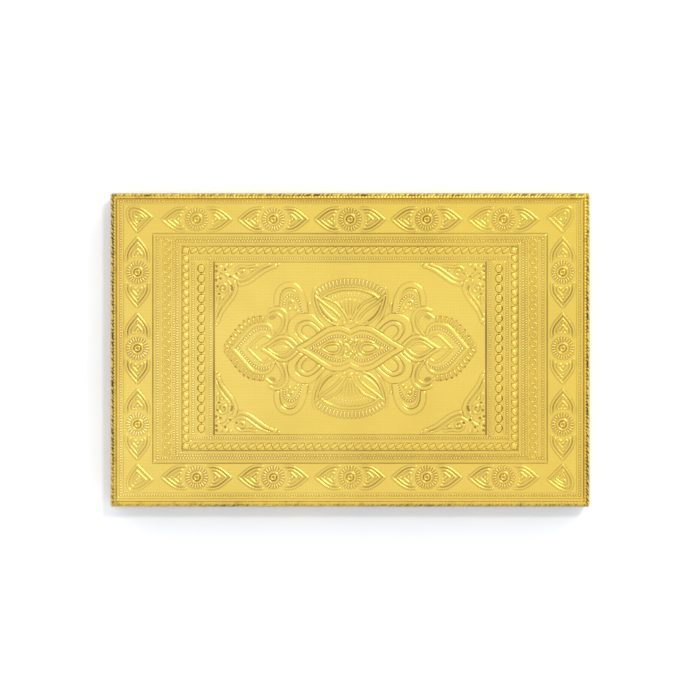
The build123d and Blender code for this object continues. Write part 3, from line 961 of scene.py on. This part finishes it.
def strip_stamping(along, down, run):
    """Rope on the arris, then a scrolling vine between beaded lines, as shares of a ridge."""
    # Uneven twist, like leafwork rolled over the edge
    twist = along / 1.9 + down / 2.2 + 0.3 * np.sin(along * 0.83) + 0.22 * np.sin(along * 2.1)
    rope = (0.55 + 0.45 * np.cos(twist * 2 * math.pi)) * cosine_ridge(down - ROPE_MIDDLE, 1.1)
    lines = np.maximum.reduce([cosine_ridge(down - at, 0.36) for at in STRIP_LINES])
    bead_x = along - np.round(along / 1.2) * 1.2
    hem_x = along - np.round(along)
    beads = np.maximum.reduce([round_boss(bead_x, down - at, 0.5, 0.5) for at in STRIP_BEADS]
                              + [round_boss(hem_x, down - HEM_BEADS, 0.44, 0.36)])
    # A whole number of waves between the corners
    wave = run / round(run / VINE_WAVE)
    phase = along * 2 * math.pi / wave
    slope = VINE_RISE * 2 * math.pi / wave * np.cos(phase)
    stem = cosine_ridge((down - VINE_MIDDLE - VINE_RISE * np.sin(phase)) / np.hypot(1, slope), 0.5)
    heights = np.maximum(np.maximum(rope * 0.95, lines), np.maximum(beads * 0.9, stem * 0.9))
    turn = np.round(along / (wave / 2) - 0.5)
    side = np.where(turn % 2 == 0, 1.0, -1.0)
    x = along - (turn + 0.5) * wave / 2
    y = (down - VINE_MIDDLE) * side
    # Flower in the lap of each wave, then leaves outside it
    r, angle = np.hypot(x, y + 1.4), np.arctan2(y + 1.4, x)
    petals = round_boss(r - 1.35, 0, 0.85, 1) * (0.65 + 0.35 * np.cos(6 * angle))
    heights = np.maximum(heights, np.maximum(petals * 0.8, round_boss(r, 0, 0.55, 1)))
    for place, drop, lean in VINE_LEAVES:
        c, s = math.cos(lean), math.sin(lean)
        u, v = c * (x - place) - s * (y - drop), s * (x - place) + c * (y - drop)
        leaf = round_boss(u, v, 0.62, 1.25) * 0.75 - cosine_ridge(u, 0.2) * 0.3
        heights = np.maximum(heights, leaf)
    return heights


def strip_places(inset, z, shares, angles, half_run, half_across):
    """Places on a strip along the front; shares and angles tell how far each one is along it."""
    centre = np.maximum(CORNER_R, inset)
    out = centre - inset
    x = shares * (half_run - centre) + out * np.sin(angles)
    y = -(half_across - centre) - out * np.cos(angles)
    return np.stack([x, y, z], axis=-1)


def side_strip(name, half_run, half_across, quarter_turns, rope_patina_and_shade, painted_side_shade, sizes):
    """One strip, made along the front and turned to its side of the block.

    First amount: patina and painted shade in the rope's hollows; second: painted shade over the
    whole side.
    """
    cell = sizes.strip_cell / MM
    straight = half_run - CORNER_R
    middle = np.linspace(-1, 1, round(2 * straight / cell) + 1)
    arc = np.linspace(0, math.pi / 4, 6)[1:]
    shares = np.concatenate([-np.ones(len(arc)), middle, np.ones(len(arc))])[:, None]
    angles = np.concatenate([-arc[::-1], 0 * middle, arc])[:, None]
    outside, inside = strip_outside(cell), strip_inside()
    inset, z = outside.T
    down = np.concatenate([[0], np.cumsum(np.linalg.norm(np.diff(outside, axis=0), axis=1))])
    tangent = np.gradient(outside, axis=0)
    tangent /= np.linalg.norm(tangent, axis=1)[:, None]
    along = shares * straight + angles * CORNER_R
    stamping = strip_stamping(along, down[None, :], 2 * straight)
    face = (z > STRIP_BASE_Z + BASE_BEND_R - 0.01) & (inset < LIP_W - 0.2)
    depth = (1 - stamping) * sizes.strip_relief / MM * face
    outer = strip_places(inset - depth * tangent[:, 1], z + depth * tangent[:, 0], shares, angles,
                         half_run, half_across)
    inner = strip_places(inside[:, 0] + 0 * shares, inside[:, 1] + 0 * shares, shares, angles,
                         half_run, half_across)
    stations, p, q = len(shares), len(outside), len(inside)
    out_index = np.arange(stations * p).reshape(stations, p)
    in_index = stations * p + np.arange(stations * q).reshape(stations, q)
    # Round each station: down the outside, then back up the inside
    loop = np.hstack([out_index, in_index[:, ::-1][:, :-1]])
    loop = np.hstack([loop, loop[:, :1]])
    # The hem's inner corner is the same place for both skins
    quads = np.stack([loop[:-1, 1:], loop[1:, 1:], loop[1:, :-1], loop[:-1, :-1]], axis=-1)
    ends = [loop[0, :-1].tolist(), loop[-1, -2::-1].tolist()]
    vertices = np.vstack([outer.reshape(-1, 3), inner.reshape(-1, 3)])
    for _ in range(quarter_turns):
        vertices = vertices @ np.array([(0, 1, 0), (-1, 0, 0), (0, 0, 1)])
    piece = new_object(name, vertices, [*quads.reshape(-1, 4).tolist(), *ends],
                       "Strip brass")
    # Patina and painted shade in the low parts of the stamping, by side, and an even painted shade
    # over each side
    patina_and_shade = np.clip((0.55 - stamping) * 1.8, 0, 1) * face * (down > 0.5)
    patina_and_shade = np.clip(patina_and_shade * np.where(down < 3.4, rope_patina_and_shade, 0.6) + painted_side_shade * (down > 1.3), 0, 1)
    mark_hollows(piece, patina_and_shade.ravel())
    work = bmesh.new()
    work.from_mesh(piece.data)
    bmesh.ops.remove_doubles(work, verts=work.verts, dist=1e-7)
    bmesh.ops.recalc_face_normals(work, faces=work.faces)
    for polygon in work.faces:
        polygon.smooth = len(polygon.verts) < 5
    work.to_mesh(piece.data)
    work.free()
    return piece


# --- Operators ----------------------------------------------
class MakeFinishes(bpy.types.Operator):
    """Make the materials and put them on the parts kept from the CAD model."""
    bl_idname = "paperweight.finishes"
    bl_label = "Finishes"
    bl_options = {"REGISTER", "UNDO"}

    def execute(self, context):
        colours = context.scene.paperweight_colours
        brass_finish("Stamped brass", colours)
        # Paler copy of the brass for the bosses, a painted highlight
        brass_finish("Burnished brass", colours, base=colours.burnished, roughness=0.24)
        brass_finish("Strip brass", colours, base=colours.warm_brass, patina_shade=0.95,
                     roughness=0.27, spots=0.35, patina_and_shade_gain=0.4)
        felt_finish(colours)
        finishes = {
            "wood_core": wood_finish(colours),
            "base_panel": board_finish(colours),
            "ballast_plate": steel_finish("Ballast steel", 0.42, 0.45, 0.8),
        }
        finishes["base_screws"] = finishes["ballast_screws"] = steel_finish(
            "Screw steel", 0.68, 0.3, 0.1)
        finishes["cladding_tacks"] = brass_finish("Tack brass", colours, patina_shade=0.3,
                                                  roughness=0.28)
        for piece in bpy.data.objects:
            node = piece.name.split(".")[0]
            if piece.type == "MESH" and node in finishes:
                piece.data.materials.clear()
                piece.data.materials.append(finishes[node])
        return {"FINISHED"}


class MakeTopSheet(bpy.types.Operator):
    """Build the stamped top sheet, in panels that meet in its grooves."""
    bl_idname = "paperweight.top_sheet"
    bl_label = "Top sheet"
    bl_options = {"REGISTER", "UNDO"}

    def execute(self, context):
        sizes = context.scene.paperweight_sizes
        cell = sizes.cell / MM
        relief = stamped_quarter(cell)

        def four_quarters(values):
            half = np.hstack([values[:, :0:-1], values])
            return np.vstack([half[:0:-1], half])

        xs = np.concatenate([-relief.x[:0:-1], relief.x])
        ys = np.concatenate([-relief.y[:0:-1], relief.y])
        whole = four_quarters(relief.heights())
        # Painted shade where a cell lies below its blurred surroundings, with the grooves' patina
        # and painted shade
        patina_and_shade = four_quarters(relief.patina_and_shade) * (whole < 0.15)
        hollows = np.clip(np.maximum(2.2 * (blurred(whole, 2) - whole), patina_and_shade), 0, 1)
        heights = FLAT_Z + whole * sizes.relief / MM
        # Under the lips of the side strips the sheet is pressed flat
        x, y = np.meshgrid(xs, ys + PATTERN_Y)
        to_lip = np.minimum(BLOCK_W / 2 - LIP_W - np.abs(x), BLOCK_D / 2 - LIP_W - np.abs(y))
        under = STRIP_TOP_Z - SHEET_T - 0.02
        heights = np.where(to_lip < 0.15, np.minimum(heights, under), heights)
        left, right = sheet_low.x / MM, sheet_high.x / MM
        front, back = sheet_low.y / MM - PATTERN_Y, sheet_high.y / MM - PATTERN_Y
        (groove_x, groove_y), (field_x, field_y) = FRAME_GROOVES[0], FIELD
        panels = {
            "border_back": (left, right, groove_y, back),
            "border_front": (left, right, front, -groove_y),
            "border_left": (left, -groove_x, -groove_y, groove_y),
            "border_right": (groove_x, right, -groove_y, groove_y),
            "frame_back": (-groove_x, groove_x, field_y, groove_y),
            "frame_front": (-groove_x, groove_x, -groove_y, -field_y),
            "frame_left": (-groove_x, -field_x, -field_y, field_y),
            "frame_right": (field_x, groove_x, -field_y, field_y),
            "field_left": (-field_x, 0.0, -field_y, field_y),
            "field_right": (0.0, field_x, -field_y, field_y),
        }

        def span(places, low, high):
            return slice(np.abs(places - low).argmin(), np.abs(places - high).argmin() + 1)

        for name, (x0, x1, y0, y1) in panels.items():
            columns, rows = span(xs, x0, x1), span(ys, y0, y1)
            piece = sheet_panel(name, xs[columns], ys[rows], heights[rows, columns],
                                hollows[rows, columns])
            settle(piece, "top_sheet")
        return {"FINISHED"}


class MakeFrameRows(bpy.types.Operator):
    """Build the rows of beads, rungs, leaves, rings and discs of the nested frames."""
    bl_idname = "paperweight.frame_rows"
    bl_label = "Frame rows"
    bl_options = {"REGISTER", "UNDO"}

    def execute(self, context):
        sizes = context.scene.paperweight_sizes
        pitch = sizes.bead_pitch / MM
        bosses("border_rungs", frame_paths(*BORDER_LADDER), pitch, (0.54, 1.0, 0.32))
        ladders = [side for ladder in FRAME_LADDERS for side in frame_paths(*ladder)]
        bosses("outer_ladder_rungs", ladders, pitch, (0.54, 1.15, 0.32))
        x, y = INNER_LADDER
        ladders = column_paths(x, y)
        for side in (-1, 1):
            ladders.append(np.array([(-INNER_LADDER_END, side * y), (INNER_LADDER_END, side * y)]))
        for x, reach in COLUMN_LADDERS:
            ladders += column_paths(x, reach)
        bosses("inner_ladder_rungs", ladders, 0.9 * pitch, (0.48, 1.15, 0.32))
        bosses("frame_leaves", frame_paths(*LEAF_FRAME), 2.6, (3.0, 1.6, 0.22), turn=32,
               material="Stamped brass")
        bosses("frame_leaf_veins", frame_paths(*LEAF_FRAME), 2.6, (1.9, 0.4, 0.25), turn=32)
        values = {"Pitch": 2.9 * MM, "Radius": 0.95 * MM, "Wire": 0.28 * MM,
                  "Material": bpy.data.materials["Stamped brass"]}
        rings = grown("column_rings", ring_row_tree(), column_paths(*RING_COLUMN), FLAT_Z, values)
        settle(rings, "top_sheet")
        bosses("column_discs", column_paths(*DISC_COLUMN), DISC_PITCH, (3.0, 2.3, 0.24),
               segments=14, material="Stamped brass")
        side_beads = [p for shift in (-1.35, 1.35)
                      for p in column_paths(RING_COLUMN[0] + shift, RING_COLUMN[1] - 1.45)]
        bosses("ring_beads", side_beads, 2.9, (0.5, 0.5, 0.28))
        return {"FINISHED"}


class MakeFlowers(bpy.types.Operator):
    """Build the rayed flower in the middle of each border eye."""
    bl_idname = "paperweight.flowers"
    bl_label = "Flowers"
    bl_options = {"REGISTER", "UNDO"}

    def execute(self, context):
        places = {(x * fx, y * fy) for x, y, _ in eye_places() for fx in (1, -1) for fy in (1, -1)}
        rings = [ring_line(x, y, FLOWER_MIDDLE, steps=52) for x, y in sorted(places)]
        bosses("flower_rays", rings, 2 * math.pi * FLOWER_MIDDLE / 22, (0.6, FLOWER_RAY, 0.31))
        return {"FINISHED"}


class MakeMedallionRows(bpy.types.Operator):
    """Build the beads, teeth and pleats of the central medallion."""
    bl_idname = "paperweight.medallion_rows"
    bl_label = "Medallion rows"
    bl_options = {"REGISTER", "UNDO"}

    def execute(self, context):
        def through_middle(line):
            line = smooth_line(line)
            line = np.vstack([line, mirrored(line, -1, 1)[-2::-1]])
            return [line, mirrored(line, 1, -1)]

        beads = in_quarters([smooth_line(line) for line in
                             (MIDDLE_EYE_BEADS, MANGO_BEADS, BRACKET_BEADS)])
        bosses("medallion_beads", beads, 0.8, (0.58, 1.15, 0.27))
        bosses("bracket_spots", in_quarters([smooth_line(BRACKET_SPOTS)]), 1.25, (0.6, 0.6, 0.26))
        bosses("bracket_teeth", in_quarters([smooth_line(BRACKET_TEETH)]), 1.5, (0.8, 2.3, 0.28),
               material="Stamped brass")
        bosses("lotus_fringe", through_middle(LOTUS_TEETH), 1.15, (0.72, 2.6, 0.32))
        bosses("lotus_pleats", through_middle(LOTUS_PLEATS), 0.95, (0.5, 2.2, 0.3))
        return {"FINISHED"}


class MakeSideStrips(bpy.types.Operator):
    """Build the four stamped side strips, mitred at the corners."""
    bl_idname = "paperweight.side_strips"
    bl_label = "Side strips"
    bl_options = {"REGISTER", "UNDO"}

    def execute(self, context):
        sizes = context.scene.paperweight_sizes
        half_w, half_d = BLOCK_W / 2, BLOCK_D / 2
        # Each side with its patina and painted shade in the rope's hollows, and its painted shade
        # over the side
        for turns, (side, run, across, rope_patina_and_shade, painted_side_shade) in enumerate((
                ("front", half_w, half_d, 0.3, 0.3), ("right", half_d, half_w, 1.0, 0.0),
                ("back", half_w, half_d, 0.6, 0.1), ("left", half_d, half_w, 0.95, 0.0))):
            piece = side_strip(f"strip_{side}", run, across, turns, rope_patina_and_shade, painted_side_shade, sizes)
            settle(piece, f"side_strip_{side}")
        return {"FINISHED"}


class MakeFelt(bpy.types.Operator):
    """Build the felt pad, with softened and slightly ragged edges."""
    bl_idname = "paperweight.felt"
    bl_label = "Felt"
    bl_options = {"REGISTER", "UNDO"}

    def execute(self, context):
        half_w, half_d, thick = (v / MM for v in felt_high)
        soft, radius, cap_inset, ragged, step = 0.45, 3.0, 2.0, 0.12, 2.0
        # Centre of each corner's arc, and the way out from it
        outline = [(sx * (half_w - radius), sy * (half_d - radius), math.cos(a), math.sin(a))
                   for quarter, (sx, sy) in enumerate(((1, 1), (-1, 1), (-1, -1), (1, -1)))
                   for a in np.linspace(0, math.pi / 2, 9) + quarter * math.pi / 2]
        dense = []
        for a, b in zip(outline, outline[1:] + outline[:1]):
            a, b = np.array(a), np.array(b)
            steps = max(1, round(np.linalg.norm(b[:2] - a[:2]) / step))
            dense += [a + (b - a) * i / steps for i in range(steps)]
        dense = np.array(dense)
        direction = dense[:, 2:] / np.linalg.norm(dense[:, 2:], axis=1)[:, None]
        steps = np.linspace(0, math.pi / 2, 5)
        profile = [(soft * (1 - math.sin(a)), soft * (1 - math.cos(a))) for a in steps]
        profile += [(soft * (1 - math.cos(a)), thick - soft * (1 - math.sin(a))) for a in steps]
        rings = [(cap_inset, 0.0), *profile, (cap_inset, thick)]
        rng = np.random.default_rng(7)
        vertices = []
        for inset, z in rings:
            edge = dense[:, :2] + direction * (radius - inset)
            edge = edge - direction * rng.uniform(0, ragged, (len(dense), 1)) * (inset < 1)
            vertices.append(np.column_stack([edge, np.full(len(dense), z)]))
        count = len(dense)
        index = np.arange(len(rings) * count).reshape(len(rings), count)
        following = np.roll(index, -1, axis=1)
        quads = np.stack([index[:-1], following[:-1], following[1:], index[1:]], axis=-1)
        faces = [*quads.reshape(-1, 4).tolist(), index[0, ::-1].tolist(), index[-1].tolist()]
        piece = new_object("felt_pad", np.vstack(vertices), faces, "Felt")
        settle(piece, "felt_pad")
        return {"FINISHED"}


FLOOR_Z = -0.02 * MM        # just clear of the felt
CAMERA_Z = 1.6
SENSOR = 36.0
PICTURE_PARTS = 700
BLOCK_PARTS = 480           # of the picture's width are filled by the block


class MakeStage(bpy.types.Operator):
    """Set the floor, the lights and the camera over the block."""
    bl_idname = "paperweight.stage"
    bl_label = "Stage"
    bl_options = {"REGISTER", "UNDO"}

    def execute(self, context):
        scene = context.scene
        ground = bpy.data.meshes.new("Floor")
        ground.from_pydata([(x, y, FLOOR_Z) for x, y in ((-3, -3), (3, -3), (3, 3), (-3, 3))],
                           [], [(0, 1, 2, 3)])
        ground.materials.append(pale_ground())
        floor = linked("floor", ground)
        centre = Vector((0.0, 0.0, cad_high.z))

        def lamp(name, offset, size, power):
            data = bpy.data.lights.new(name, "AREA")
            data.shape, data.size, data.energy = "DISK", size, power
            light = linked(name, data)
            light.location = centre + Vector(offset)
            light.rotation_euler = (-Vector(offset)).to_track_quat("-Z", "Y").to_euler()
            return light

        key = lamp("Key", (0.30, 0.37, 2.0), 0.14, 8.0)
        glint = lamp("Glint", (0.9, 1.2, 1.5), 0.8, 7.5)
        # The key only casts the shadow; the brass mirrors the glint and the sky
        key.visible_glossy = False
        camera_data = bpy.data.cameras.new("Camera")
        camera = linked("Camera", camera_data)
        camera.location = (0.0, 0.0, CAMERA_Z)
        camera_data.sensor_width = SENSOR
        span = (cad_high.x - cad_low.x) * PICTURE_PARTS / BLOCK_PARTS
        camera_data.lens = SENSOR * (camera.location.z - cad_high.z) / span
        camera_data.dof.use_dof = False
        scene.camera = camera
        world = bpy.data.worlds.new("Studio")
        scene.world = world
        world.use_nodes = True
        sky = NodeMaker(world.node_tree)
        # The sky is a little brighter overhead and towards the lamps
        facing = sky.node("ShaderNodeVectorMath", {"operation": "DOT_PRODUCT"}, {
            0: sky.node("ShaderNodeTexCoord", output="Generated"), 1: (0.1, 0.14, 0.9)},
            output="Value")
        level = sky.node("ShaderNodeMapRange", {}, {
            "Value": facing, "From Min": 0.0, "From Max": 0.9, "To Min": 1.0, "To Max": 1.14})
        background = sky.tree.nodes["Background"]
        sky.tree.links.new(level.socket, background.inputs["Strength"])
        background.inputs["Color"].default_value = (0.965, 0.985, 1.03, 1)
        scene.view_settings.view_transform = "Standard"
        return {"FINISHED"}


STEPS = (MakeFinishes, MakeTopSheet, MakeFrameRows, MakeFlowers, MakeMedallionRows, MakeSideStrips,
         MakeFelt, MakeStage)


class PaperweightPanel(bpy.types.Panel):
    """Sizes, colours and steps of the paperweight."""
    bl_idname = "VIEW3D_PT_paperweight"
    bl_label = "Paperweight"
    bl_space_type = "VIEW_3D"
    bl_region_type = "UI"
    bl_category = "Paperweight"

    def draw(self, context):
        for group in (context.scene.paperweight_sizes, context.scene.paperweight_colours):
            for name in group.bl_rna.properties.keys():
                if name not in ("rna_type", "name"):
                    self.layout.prop(group, name)
        for step in STEPS:
            self.layout.operator(step.bl_idname)


CLASSES = (PaperweightSizes, PaperweightColours, *STEPS, PaperweightPanel)


def register():
    for cls in CLASSES:
        bpy.utils.register_class(cls)
    bpy.types.Scene.paperweight_sizes = bpy.props.PointerProperty(type=PaperweightSizes)
    bpy.types.Scene.paperweight_colours = bpy.props.PointerProperty(type=PaperweightColours)


def unregister():
    del bpy.types.Scene.paperweight_colours
    del bpy.types.Scene.paperweight_sizes
    for cls in reversed(CLASSES):
        bpy.utils.unregister_class(cls)


def main():
    register()
    for step in STEPS:
        group, name = step.bl_idname.split(".")
        getattr(getattr(bpy.ops, group), name)()


if __name__ == "__main__":
    main()
